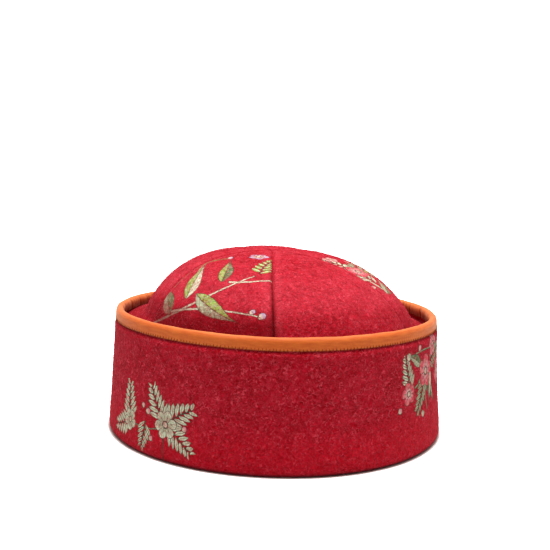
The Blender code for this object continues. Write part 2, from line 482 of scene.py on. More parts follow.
INK = (0.045, 0.060, 0.042)
SAGE = (0.440, 0.570, 0.350)
MINT = (0.800, 0.840, 0.600)
FERN = (0.330, 0.540, 0.110)
PINE = (0.085, 0.210, 0.075)
CREAM = (0.850, 0.700, 0.520)
CORAL = (0.900, 0.070, 0.120)
ROSE = (0.950, 0.330, 0.370)
LILAC = (0.640, 0.450, 0.740)
INK_FADE = (-0.28, 0.0)
FILL_FADE = (0.12, 0.42)


def spokes(angle, turns, wave="SINE"):
    """Waves round a middle, from 0 to 1 and back twice in each of these turns."""
    return apply(apply(angle * turns, wave), "ABSOLUTE")


def cut_off(depth, y, length):
    """A shape's depth, ending at its root and at this length."""
    return sums(sums(depth, y, "MINIMUM"), length - y, "MINIMUM")


class Canvas:
    """A colour that shapes are painted on. Sizes are in millimetres on the cloth, turns in degrees."""

    def __init__(self, colour):
        self.tree = colour.tree
        self.colour = colour
        cloth = scaled(uv_wire(self.tree), 1.0 / MM)
        self.u, self.v, _ = split(strayed(cloth, 1.6, 0.9, detail=2.0))
        self.wash = eased(noise_wire(cloth, 2.2, detail=3.0), 0.42, 0.66) * 0.35

    def lay(self, mask, paint):
        """Covers the mask with paint."""
        self.colour = mixed(mask, self.colour, paint)

    def outlined(self, depth, paint):
        """Fills a shape and inks its outline. Depth is how far a place lies inside the shape."""
        self.lay(eased(depth, *INK_FADE), INK)
        self.lay(eased(depth, *FILL_FADE), mixed(self.wash, paint, CREAM))

    def frame(self, across, up, turn):
        """A motif's own coordinates, with its root at the origin and its tip along the second one."""
        along = cos(radians(turn))
        aside = sin(radians(turn))
        x = scale_add(self.u, along, scale_add(self.v, aside, -across * along - up * aside))
        y = scale_add(self.u, -aside, scale_add(self.v, along, across * aside - up * along))
        return x, y

    def leaf(self, across, up, turn, length, width, light=SAGE, deep=PINE):
        """A broad leaf with a midrib and side veins, darker on one half."""
        x, y = self.frame(across, up, turn)
        along = sums(y * (1.0 / length), 0.0, "MAXIMUM")
        rest = sums(1.0 - along, 0.0, "MAXIMUM")
        x = x - along * rest * (0.5 * width)
        side = apply(x, "ABSOLUTE")
        depth = cut_off(along * rest * rest * (0.5 * 6.75 * width) - side, y, length)
        paint = mixed(eased(x, -0.3, 0.3), light, deep)
        vein = sums((y - side * 1.2) * (8.0 / length), 0.5, "PINGPONG")
        paint = mixed(eased(vein, 0.13, 0.04) * 0.55, paint, INK)
        paint = mixed(eased(side, 0.42, 0.16) * 0.9, paint, INK)
        self.outlined(depth, paint)

    def sprig(self, across, up, turn, length, reach, pitch, light=MINT, deep=SAGE):
        """A bent stalk with oval leaflets that stand by turns on its two sides."""
        x, y = self.frame(across, up, turn)
        x = x - y * y * (0.14 / length)
        side = apply(x, "ABSOLUTE")
        slant = y - side * 0.85 + sums(x, 0.0, "GREATER_THAN") * (0.5 * pitch)
        leaflet = reach - slant * (0.62 * reach / length)
        along = side / leaflet
        gap = (0.5 - sums(slant * (1.0 / pitch), 0.5, "PINGPONG")) * pitch
        depth = along * (1.0 - along) * (1.9 * pitch) - gap
        ends = eased(slant, 0.0, 0.3) * eased(slant, length, length - 0.3)
        self.lay(eased(side, 0.55, 0.25) * eased(y, -0.2, 0.2) * eased(y, length, length - 0.5), INK)
        self.lay(eased(depth, -0.30, 0.0) * ends, INK)
        paint = mixed(eased(gap, 0.1, 0.5), deep, light)
        self.lay(eased(depth, 0.10, 0.38) * ends, paint)

    def blossom(self, across, up, turn, radius, petals, rim=CORAL, heart=ROSE):
        """An open flower with round petals and a pale button in its middle."""
        x, y = self.frame(across, up, turn)
        reach = apply(x * x + y * y, "SQRT")
        angle = sums(y, x, "ARCTAN2")
        wave = spokes(angle, 0.5 * petals, "COSINE")
        depth = sums(wave, 0.6, "POWER") * (0.36 * radius) + 0.64 * radius - reach
        paint = mixed(eased(reach, 0.25 * radius, 0.85 * radius), heart, rim)
        cleft = eased(wave, 0.90, 1.0) * eased(reach, 0.8 * radius, 0.3 * radius)
        paint = mixed(cleft, paint, INK)
        streak = eased(spokes(angle, 2.5 * petals), 0.40, 0.10)
        paint = mixed(streak * eased(reach, 0.4 * radius, 0.7 * radius) * 0.45, paint, INK)
        paint = mixed(eased(wave, 0.20, 0.08) * 0.9, paint, INK)
        self.outlined(depth, paint)
        stamen = eased(spokes(angle, 1.5 * petals), 0.55, 0.25)
        ring = eased(reach, 0.46 * radius, 0.40 * radius) * eased(reach, 0.26 * radius, 0.32 * radius)
        self.lay(stamen * ring, CREAM)
        self.lay(eased(reach, 0.30 * radius, 0.24 * radius), INK)
        self.lay(eased(reach, 0.22 * radius, 0.15 * radius), CREAM)

    def berry(self, across, up, radius, light=CREAM, deep=ROSE):
        """A round berry or bud, lighter on one side."""
        x, y = self.frame(across, up, 40.0)
        reach = apply(x * x + y * y, "SQRT")
        self.outlined(radius - reach, mixed(eased(x, -0.5 * radius, 0.5 * radius), light, deep))

    def stem(self, across, up, turn, length, width, bow, light=SAGE, deep=PINE):
        """A bowed stem that thins out towards its tip."""
        x, y = self.frame(across, up, turn)
        along = y * (1.0 / length)
        x = x - along * (1.0 - along) * (4.0 * bow)
        side = apply(x, "ABSOLUTE")
        depth = cut_off((1.0 - along * 0.5) * (0.5 * width) - side, y, length)
        self.lay(eased(depth, *INK_FADE), INK)
        self.lay(eased(depth, 0.0, 0.25), mixed(eased(x, -0.3, 0.3), light, deep))


# Each row names a method of Canvas and gives what it takes. Some leave out its usual colours
CUFF_DESIGN = (
    # left of the front
    ("stem", -60, 20, 172, 19, 0.9, 1.5, INK, INK),
    ("stem", -62, 20, 96, 30, 0.9, -3, SAGE, INK),
    ("sprig", -62, 21, -52, 21, 9, 3.6),
    ("sprig", -60, 19, -118, 19, 8, 3.4),
    ("sprig", -64, 22, 36, 20, 8.5, 3.6),
    ("sprig", -93, 17, 14, 20, 8.5, 3.4),
    ("sprig", -94, 16, 118, 18, 8, 3.4),
    ("sprig", -78, 19, 176, 15, 7, 3.2, MINT, PINE),
    ("blossom", -62, 20.5, 12, 8, 6, MINT, SAGE),
    ("blossom", -93, 16.5, -20, 6.2, 5, MINT, SAGE),
    ("berry", -76, 25, 1.9),
    ("berry", -80.5, 27.5, 1.6),
    ("berry", -49, 20.5, 1.7),
    ("berry", -72.5, 11, 1.6),
    # right of the front
    ("stem", 104, 50, 186, 26, 1.6, 2),
    ("stem", 86, 38, -62, 24, 1.3, 2),
    ("stem", 86, 56, -90, 34, 1.3, -2),
    ("sprig", 103, 44, 158, 22, 7.5, 3.6, SAGE, PINE),
    ("sprig", 112, 50, -72, 24, 8, 3.6, SAGE, PINE),
    ("sprig", 86, 40, 22, 18, 7, 3.4, MINT, PINE),
    ("leaf", 106, 44, -142, 24, 7.5),
    ("leaf", 99, 50, 64, 19, 6.5),
    ("leaf", 113, 46, 172, 21, 6.5, MINT, PINE),
    ("blossom", 105, 46, 8, 9.5, 5),
    ("blossom", 84, 37, 30, 6.6, 5),
    ("blossom", 119, 58.5, 24, 7, 5, ROSE, CORAL),
    ("blossom", 131, 41, 50, 8.5, 5),
    ("berry", 84.5, 57, 2.2, CREAM, SAGE),
    ("berry", 76, 29, 1.8),
    ("berry", 100, 23, 2, CREAM, SAGE),
    ("berry", 97, 60, 1.8),
)

FRONT_LEFT_DESIGN = (
    ("stem", -44, -4, -54, 78, 1.9, 6, CREAM, MINT),
    ("stem", -24, 7, -84, 58, 1.6, -4, CREAM, MINT),
    ("stem", 8, 34, -66, 34, 1.5, 3, CREAM, MINT),
    ("stem", -12, 22, 14, 34, 1.4, -3.5, CREAM, FERN),
    ("leaf", -14, 17, 12, 30, 11, FERN, MINT),
    ("leaf", -8, 22, -112, 37, 10.5, FERN, SAGE),
    ("leaf", -22, 6, 58, 26, 11),
    ("stem", -33, 22, -36, 44, 1.5, -5, FERN, PINE),
    ("berry", -8, 58.5, 2, CREAM, LILAC),
    ("leaf", 4, 33, 22, 25, 8.5, FERN, PINE),
    ("sprig", 20, 45, 18, 22, 6, 3.8, FERN, MINT),
    ("berry", 36, 13.5, 2.2, CREAM, LILAC),
    ("berry", 30, 15.5, 1.7, CREAM, LILAC),
    ("berry", 38, 47.5, 2, CREAM, LILAC),
    ("blossom", 6, 68, 20, 5.5, 5, LILAC, CREAM),
)

RIGHT_DESIGN = (
    ("stem", -36, 26, -24, 44, 1.5, -4, MINT, SAGE),
    ("sprig", -33, 32, -14, 34, 8, 4),
    ("sprig", -27, 46, -86, 24, 8, 3.8, SAGE, PINE),
    ("leaf", -22, 40, -110, 26, 9, FERN, SAGE),
    ("leaf", -38, 22, -60, 24, 8),
    ("blossom", -27, 44, 10, 7.5, 5),
    ("blossom", -16, 62, 30, 5, 5, ROSE, CREAM),
    ("berry", -40, 31, 2),
    ("berry", -9, 52, 1.8),
)

PANELS = (
    # node, first seam and next seam in degrees, painted shade above the trough, print
    ("crown_panel_front_right", 0.0, 72.0, 0.18, ()),
    ("crown_panel_right", 72.0, 144.0, 0.35, RIGHT_DESIGN),
    ("crown_panel_back", 144.0, 219.0, 0.35, ()),
    ("crown_panel_left", 219.0, 292.0, 0.45, ()),
    ("crown_panel_front_left", 292.0, 360.0, 0.80, FRONT_LEFT_DESIGN),
)


# Felt

FELT_DEEP = (0.320, 0.0004, 0.0040)
FELT_RED = (0.440, 0.0010, 0.0100)
FELT_WARM = (0.550, 0.0100, 0.0280)
FELT_LIGHT = (0.920, 0.1000, 0.1400)
# Painted light on the cuff, low down and just below the binding
FELT_PAINTED_LIGHT = (0.780, 0.0040, 0.0170)
# Painted shade: in the cuff's fold, above and in the crown's trough, and along the crown's seams
FOLD_SHADE = (0.110, 0.0110, 0.0150)
HOLLOW_SHADE = (0.190, 0.0002, 0.0030)
SEAM_SHADE = (0.220, 0.0002, 0.0025)
SEAM_SHADE_WIDTH = 1.7 * MM
FELT_RELIEF = 0.42 * MM


def curls(place, size, width, shift):
    """Thin curly lines from 0 to 1, such as loose fibres make on boiled wool."""
    moved = vector_sum(place, shift)
    return eased(apply(noise_wire(moved, size, detail=1.0) - 0.5, "ABSOLUTE"), width, 0.0)


def felt_fibres(place):
    """(light fibres, dark gaps, mottle), each a wire from 0 to 1, at this place in metres."""
    curled = strayed(place, 2.4 * MM, 3.8 * MM, detail=1.0)
    thick = curls(curled, 2.1 * MM, 0.075, (0.0, 0.0, 0.0))
    fine = curls(curled, 1.3 * MM, 0.070, (0.31, 0.17, 0.53))
    patch = eased(noise_wire(place, 3.6 * MM, detail=2.0), 0.38, 0.60)
    light = sums(thick * patch, fine * (1.0 - patch) * 0.45, "MAXIMUM")
    dark = curls(curled, 1.5 * MM, 0.045, (0.71, 0.37, 0.13))
    mottle = noise_wire(curled, 1.5 * MM, detail=3.0, roughness=0.60)
    return light, dark, mottle


def felt_material(name, nap, design=(), painted_hollow_shade=0.0, folded=False):
    """Boiled-wool felt with this much nap, printed. A crown panel has painted shade along its seams, in its
    trough and, by its share, above the trough, and painted light on its mid slope and beside its seams. The
    cuff has painted light low down and below its binding, and painted shade in its fold."""
    material, shader = new_material(name)
    tree = material.node_tree
    place = texture_wire(tree, "Object")
    light, dark, mottle = felt_fibres(place)
    tone = noise_wire(place, 13.0 * MM, detail=3.0)
    clumps = noise_wire(place, 6.5 * MM, detail=3.0, roughness=0.6)
    colour = layered(
        mixed(eased(tone, 0.36, 0.66), FELT_DEEP, FELT_RED),
        (eased(mottle, 0.36, 0.66), FELT_WARM),
        (dark * (0.40 - 0.14 * nap), FELT_DEEP),
        (eased(clumps, 0.50, 0.36) * 0.30, FELT_DEEP),
        (eased(clumps, 0.52, 0.68) * (0.06 + 0.08 * nap), FELT_LIGHT),
    )
    fibres_and_painted_light = light * (0.60 - 0.16 * nap) + 0.02 * nap
    if painted_hollow_shade:
        beside, up, _ = split(uv_wire(tree, "seam"))
        # Painted light: the crown is drawn lighter on its mid slope, for the light that falls there
        painted_mid_light = eased(up, 8.0 * MM, 22.0 * MM) * eased(up, 62.0 * MM, 32.0 * MM) * 0.13
        # Painted highlight: a light strip beside each seam, where a panel's edge bulges and catches the
        # light
        painted_seam_light = eased(beside, 1.0 * MM, 2.8 * MM) * eased(beside, 7.0 * MM, 3.6 * MM) * 0.13
        fibres_and_painted_light = fibres_and_painted_light + painted_mid_light + painted_seam_light
    # Light fibres and, on the crown, the painted light above, laid on in FELT_LIGHT
    colour = mixed(fibres_and_painted_light, colour, FELT_LIGHT)
    if folded:
        _, up, _ = split(uv_wire(tree))
        # Painted light: the cuff drawn lighter low down and just below the binding, where more light
        # reaches it
        painted_cuff_light = eased(up, 36.0 * MM, 7.0 * MM) * 0.34 + eased(up, 54.0 * MM, 66.0 * MM) * 0.12
        # Painted shade: dark low on the fold at the foot, where the cuff turns under towards the floor
        fold = eased(up, 2.4 * MM, 1.0 * MM) * 0.7
        colour = layered(colour, (painted_cuff_light * (0.40 + mottle * 1.2), FELT_PAINTED_LIGHT), (fold, FOLD_SHADE))
    if design:
        canvas = Canvas(colour)
        for kind, *sizes in design:
            getattr(canvas, kind)(*sizes)
        worn = light * 0.36 + dark * 0.32 + eased(mottle, 0.46, 0.28) * 0.42
        colour = mixed(worn, canvas.colour, colour)
    if painted_hollow_shade:
        # Painted shade: darker above the trough, by the panel's share, and darker in the trough itself,
        # where the cuff and binding shade the crown
        uneven = up + (tone - 0.5) * (14.0 * MM) + (mottle - 0.5) * (6.0 * MM)
        # Painted shade along each seam's crease, widest at the dome's foot and narrowing upwards
        narrowing = 1.0 + sums(up, 0.0, "MAXIMUM") * 22.0
        crease = eased(beside * narrowing, SEAM_SHADE_WIDTH, 0.1 * MM)
        colour = layered(
            colour,
            (eased(uneven, 17.0 * MM, 6.0 * MM) * painted_hollow_shade, HOLLOW_SHADE),
            (eased(up, 1.0 * MM, -8.0 * MM) * 0.35, HOLLOW_SHADE),
            (crease * (0.95 - eased(up, 0.0, 0.06) * 0.50), SEAM_SHADE),
        )
    inputs = {
        "Base Color": colour,
        "Roughness": 0.95,
        "Specular IOR Level": 0.05,
        "Sheen Weight": 0.12,
        "Sheen Roughness": 0.24,
        "Sheen Tint": (1.0, 0.50, 0.55, 1.0),
        "Normal": relief_wire(mottle * 0.8 + light * 0.6 - dark * 0.45, FELT_RELIEF - 0.10 * MM * nap),
    }
    fill(shader, inputs)
    return material


# Cuff

CUFF_COLUMNS = 620
CUFF_OUTER_ROWS = 66
CUFF_TROUGH_ROWS = 14
CUFF_HIDDEN_ROWS = 5
CUFF_FOLD_ROWS = 6
CUFF_TROUGH_SHOWN = 15.0 * MM
PINCH_FADE = 2.2 * MM
BULGE_BELOW_BINDING = (0.35 * MM, 3.4 * MM, 2.0 * MM)  # rise, distance below, width
BULGE_ABOVE_FOOT = (0.30 * MM, 9.0 * MM, 8.0 * MM)  # rise, height, width
LIP_BULGE = 0.2 * MM
INNER_RELIEF = 0.4


def cuff_profile(azimuth):
    """Rows of (inset, height) round the cuff's closed section, and how much relief each row takes."""
    top = felt_top(azimuth)
    waist = binding_foot(azimuth)
    outer = np.linspace(0.0, 1.0, CUFF_OUTER_ROWS)[:, None]
    height = FOLD_RADIUS + (waist - FOLD_RADIUS) * outer
    below = waist - height
    inset = cuff_inset(azimuth, height)
    inset = inset + BINDING_PINCH * (1.0 - smooth(below / PINCH_FADE))
    for (rise, distance, width), along in ((BULGE_BELOW_BINDING, below), (BULGE_ABOVE_FOOT, height)):
        inset = inset - rise * bell(along - distance, width)
    rows = [(inset, height, 1.0), (cuff_inset(azimuth, top)[None] + BINDING_PINCH, top[None], 0.0)]
    inner = np.linspace(0.0, 1.0, CUFF_TROUGH_ROWS)[:, None]
    height = top - CUFF_TROUGH_SHOWN * inner
    rows.append((cuff_inset(azimuth, height) + CUFF_WALL, height, INNER_RELIEF * smooth(inner * 4.0)))
    hidden = np.linspace(0.0, 1.0, CUFF_HIDDEN_ROWS + 1)[1:, None]
    height = (top - CUFF_TROUGH_SHOWN) * (1.0 - hidden) + CUFF_WALL * hidden
    rows.append((cuff_inset(azimuth, height) + CUFF_WALL, height, 0.0))
    lip = (cuff_inset(azimuth, CROWN_FOOT) + CROWN_INSET + CROWN_WALL)[None]
    rows += [(lip, CUFF_WALL, 0.0), (lip + LIP_BULGE, 0.5 * CUFF_WALL, 0.0), (lip, 0.0, 0.0)]
    turn = 0.5 * pi * np.linspace(0.0, 1.0, CUFF_FOLD_ROWS, endpoint=False)[:, None]
    middle = cuff_inset(azimuth, FOLD_RADIUS) + FOLD_RADIUS
    height = FOLD_RADIUS * (1.0 - np.cos(turn))
    rows.append((middle - FOLD_RADIUS * np.sin(turn), height, smooth(turn / (0.5 * pi))))
    insets, heights, reliefs = zip(*[np.broadcast_arrays(*row, azimuth[None])[:3] for row in rows])
    return np.concatenate(insets), np.concatenate(heights), np.concatenate(reliefs)


CUFF_SEAM_DEPTH = 1.1 * MM
CUFF_SEAM_WIDTH = 1.3 * MM
CUFF_SEAM_DIP = 0.5 * MM
CUFF_SEAM_DIP_WIDTH = 4.0 * MM
GIRTH_ROW = 10


def cuff_seam_valley(azimuth):
    """Depth of the valley of the cuff's upright seam, at the back."""
    away = np.abs(np.abs(azimuth) - pi) * FOOT_HALF_WIDTH
    crease = CUFF_SEAM_DEPTH * bell(away, CUFF_SEAM_WIDTH)
    return crease + CUFF_SEAM_DIP * bell(away, CUFF_SEAM_DIP_WIDTH)


def make_cuff(material):
    """The turned-up band, from the fold at its foot to the edge inside the binding."""
    azimuth = np.linspace(-pi, pi, CUFF_COLUMNS, endpoint=False)
    inset, height, relief = cuff_profile(azimuth)
    azimuths = np.broadcast_to(azimuth, inset.shape)
    points = foot_point(inset, azimuths, height)
    out = unit(plan_point(FOOT_HALF_DEPTH, FOOT_HALF_WIDTH, azimuths, 0.0))
    facing = np.where(np.arange(len(inset)) < CUFF_OUTER_ROWS + 1, 1.0, -1.0)
    facing[-CUFF_FOLD_ROWS:] = 1.0
    push = felt_relief(points, seed=3) * relief * facing[:, None] - cuff_seam_valley(azimuths) * relief
    points = points + out * push[..., None]
    rows, columns = inset.shape
    quads, steps = grid_quads(rows, columns, closed=True)
    piece = mesh_object("cuff_felt", points.reshape(-1, 3), [quads], [material])
    girth = distances(points[GIRTH_ROW])
    girth = np.append(girth, girth[-1] + np.linalg.norm(points[GIRTH_ROW, 0] - points[GIRTH_ROW, -1]))
    u = girth - 0.5 * girth[-1]
    v = height + INNER_SHIFT * (np.arange(rows) > CUFF_OUTER_ROWS)[:, None]
    v[-CUFF_FOLD_ROWS:] -= INNER_SHIFT
    v = v[steps[..., 0] % rows, steps[..., 1] % columns]
    set_uv(piece, np.stack([u[steps[..., 1]], v], axis=-1).reshape(-1, 2))
    settle(piece, "cuff")
    return points[:CUFF_OUTER_ROWS], out[:CUFF_OUTER_ROWS]


# Crown

PANEL_COLUMNS = 84
WALL_ROWS = 8
TROUGH_ROWS = 22
DOME_ROWS = 84
CREASE_DEPTH = 1.9 * MM
CREASE_WIDTH = 1.0 * MM
PANEL_GAP = 0.04 * MM
WALL_END = 0.9
DOME_END = 2.9985
EDGE_CROWDING = 0.6
TIP_CREASE = 0.15
TIP_CREASE_FADE = 6.0 * MM
TIP_RELIEF_FADE = 8.0 * MM
INNER_CREASE = 0.3
SIDE_DRAW = 0.55 * MM
SIDE_DRAW_BIAS = 0.30 * MM


def panel_grid(first, last, depth):
    """Points of one face of a panel, row by row from its foot to its tip, with the plain normals and how
    far each point is from the nearer seam."""
    wall = np.linspace(0.0, WALL_END, WALL_ROWS, endpoint=False)
    trough = np.linspace(WALL_END, 2.0, TROUGH_ROWS, endpoint=False)
    dome = np.linspace(2.0, DOME_END, DOME_ROWS)
    climb = np.concatenate([wall, trough, dome])[:, None]
    even = np.linspace(0.0, 1.0, PANEL_COLUMNS)[None]
    crowded = 0.5 - 0.5 * np.cos(pi * even)
    share, climb = np.broadcast_arrays((1.0 - EDGE_CROWDING) * even + EDGE_CROWDING * crowded, climb)
    half_angle = 0.5 * (last - first)
    across = crown_surface(first + (last - first) * share, climb)
    opposite = crown_surface(first + (last - first) * share + pi, climb)
    radius = 0.5 * np.linalg.norm((across - opposite)[..., :2], axis=-1)
    clear = np.arcsin(np.minimum(0.5 * PANEL_GAP / radius, np.sin(half_angle)))
    azimuth = 0.5 * (first + last) + (half_angle - clear) * (2.0 * share - 1.0)
    plain = crown_surface(azimuth, climb)
    normal = grid_normals(plain)
    near = np.minimum(share, 1.0 - share) * 2.0 * half_angle * radius
    domed = smooth(climb - 1.0)
    narrowed = np.minimum(radius / DOME_HALF_WIDTH, 1.0)
    seam_depth = SEAM_DEPTH_LOW + (SEAM_DEPTH_HIGH - SEAM_DEPTH_LOW) * np.clip(climb - 2.0, 0.0, 1.0)
    dip = domed * narrowed * seam_depth * bell(near, SEAM_WIDTH)
    lower = smooth(radius / DOME_HALF_WIDTH)
    crease = CREASE_DEPTH * bell(near, CREASE_WIDTH * (0.5 + 0.5 * lower))
    crease = crease * (TIP_CREASE + (1.0 - TIP_CREASE) * lower) * smooth(radius / TIP_CREASE_FADE)
    swell = domed * narrowed * PANEL_SWELL * np.sin(pi * share)
    shown = smooth((climb - 0.8) / 0.2) * smooth(radius / TIP_RELIEF_FADE)
    lumps = felt_relief(plain, seed=20) * shown
    side = np.sin(azimuth)
    drawn = (SIDE_DRAW + SIDE_DRAW_BIAS * np.sign(side)) * side**2 * domed * np.sqrt(narrowed)
    shift = swell - dip - depth + lumps - drawn - crease * (INNER_CREASE if depth else 1.0)
    return plain + normal * shift[..., None], normal, near


def make_panel(name, first, last, material):
    """One panel of the crown, outer face, inner face and edges, with cloth coordinates in metres."""
    outer, normal, near = panel_grid(first, last, 0.0)
    inner, _, _ = panel_grid(first, last, CROWN_WALL)
    rows, columns = near.shape
    face, _ = grid_quads(rows, columns)
    count = rows * columns
    points = np.concatenate([outer.reshape(-1, 3), inner.reshape(-1, 3)])
    border = np.concatenate(
        [
            np.arange(columns),
            np.arange(1, rows) * columns + columns - 1,
            (rows - 1) * columns + np.arange(columns - 2, -1, -1),
            np.arange(rows - 2, 0, -1) * columns,
        ]
    )
    following = np.roll(border, -1)
    edge = np.stack([border, border + count, following + count, following], axis=-1)
    quads = np.concatenate([face, face[:, ::-1] + count, edge])
    piece = mesh_object(name, points, [quads], [material])
    up = distances(outer[:, columns // 2])
    up = up - up[WALL_ROWS + TROUGH_ROWS]
    across = np.cumsum(np.linalg.norm(np.diff(outer, axis=1), axis=-1), axis=1)
    u = np.concatenate([np.zeros((rows, 1)), across], axis=1) - 0.5 * across[:, -1:]
    v = np.broadcast_to(up[:, None], u.shape)
    flat = np.stack([u, v], axis=-1).reshape(-1, 2)
    flat = np.concatenate([flat, flat + [0.0, INNER_SHIFT]])
    beside = np.stack([np.tile(near.ravel(), 2), flat[:, 1]], axis=-1)
    set_uv(piece, flat[quads.ravel()])
    set_uv(piece, beside[quads.ravel()], "seam")
    settle(piece, name.replace("_felt", ""))
    return outer[FUZZ_FIRST_ROW:], normal[FUZZ_FIRST_ROW:]


# Fuzz: loose fibres that lie on the felt, a few of them standing off it

FUZZ_RINGS = 4
FUZZ_SIDES = 3
FUZZ_FIRST_ROW = WALL_ROWS + TROUGH_ROWS // 2
FUZZ_LENGTH = (1.6 * MM, 4.4 * MM)
FUZZ_RADIUS = 0.042 * MM
FUZZ_BEND = 2.6
FUZZ_FLOOR = 1.2 * MM
FUZZ_CLEARANCE = 0.02 * MM
FUZZ_LIFT = 0.20 * MM
LOOSE_LIFT = 0.45 * MM
LOOSE_SHARE = 0.12
CUFF_FIBRES = 9500
PANEL_FIBRES = 3200
FUZZ_TONES = (
    # red, green, blue
    (0.800, 0.0800, 0.1150),
    (0.560, 0.0130, 0.0320),
    (0.400, 0.0030, 0.0120),
)
FUZZ_TONE_SHARES = (0.45, 0.35, 0.20)


def fuzz_materials():
    """Wool fibres in three tones."""
    made = []
    for index, tone in enumerate(FUZZ_TONES):
        material, shader = new_material("wool_fibre_%d" % index)
        fill(shader, {"Base Color": (*tone, 1.0), "Roughness": 0.9, "Specular IOR Level": 0.1})
        made.append(material)
    return made


def make_fuzz(name, points, normal, count, materials, seed):
    """Loose curved fibres spread evenly over a grid of points."""
    draw = np.random.default_rng(seed)
    over = np.diff(points, axis=1)[:-1]
    up = np.diff(points, axis=0)[:, :-1]
    area = np.linalg.norm(np.cross(over, up), axis=-1).ravel()
    cell = draw.choice(area.size, size=count, p=area / area.sum())
    row, column = np.unravel_index(cell, over.shape[:2])
    share = draw.uniform(0.0, 1.0, (2, count, 1))
    root = points[row, column] + over[row, column] * share[0] + up[row, column] * share[1]
    out = normal[row, column]
    ahead = unit(over[row, column])
    aside = np.cross(out, ahead)
    length = draw.uniform(*FUZZ_LENGTH, count)[:, None]
    steps = np.linspace(0.0, 1.0, FUZZ_RINGS)
    heading = draw.uniform(0.0, FULL_TURN, count)[:, None]
    heading = heading + draw.normal(0.0, FUZZ_BEND, count)[:, None] * steps
    stride = length / (FUZZ_RINGS - 1)
    forward = np.cumsum(np.cos(heading) * stride, axis=1)
    sideways = np.cumsum(np.sin(heading) * stride, axis=1)
    lift = np.abs(draw.normal(0.0, FUZZ_LIFT, count))
    lift = lift + LOOSE_LIFT * (draw.uniform(0.0, 1.0, count) > 1.0 - LOOSE_SHARE)
    height = FUZZ_CLEARANCE + lift[:, None] * steps
    path = root[:, None] + ahead[:, None] * forward[..., None] + aside[:, None] * sideways[..., None]
    path = path + out[:, None] * height[..., None]
    path[..., 2] = FUZZ_FLOOR + np.abs(path[..., 2] - FUZZ_FLOOR)
    radii = FUZZ_RADIUS * (1.0 - 0.75 * np.abs(2.0 * steps - 1.0) ** 2)
    tones = draw.choice(len(materials), size=count, p=FUZZ_TONE_SHARES)
    make_strands(name, path, radii, out, FUZZ_SIDES, materials, tones)


# Binding

BINDING_COLUMNS = 1240
BINDING_ROLL_ROWS = 22
BINDING_SIDE_ROWS = 6
BINDING_SPRING_DROP = 1.6 * MM
OUTER_EDGE_SPAN = 0.13
INNER_EDGE_SPAN = 0.30
INNER_EDGE_TIGHT_SPAN = 0.14
STITCH_DENT = (0.10 * MM, 0.24 * MM)  # outer edge, inner edge
EDGE_SINK = (0.30 * MM, 0.25 * MM)  # outer edge, inner edge
STITCH_PULL = 0.42
RIPPLE_PULL = 0.10
RIPPLE_DEPTH = 0.12 * MM
PLEAT_RISE = 0.55
FOLD_DEPTH = 0.9
FOLD_SLANT = 5.4 * MM
STITCH_PITCH = 2.05 * MM


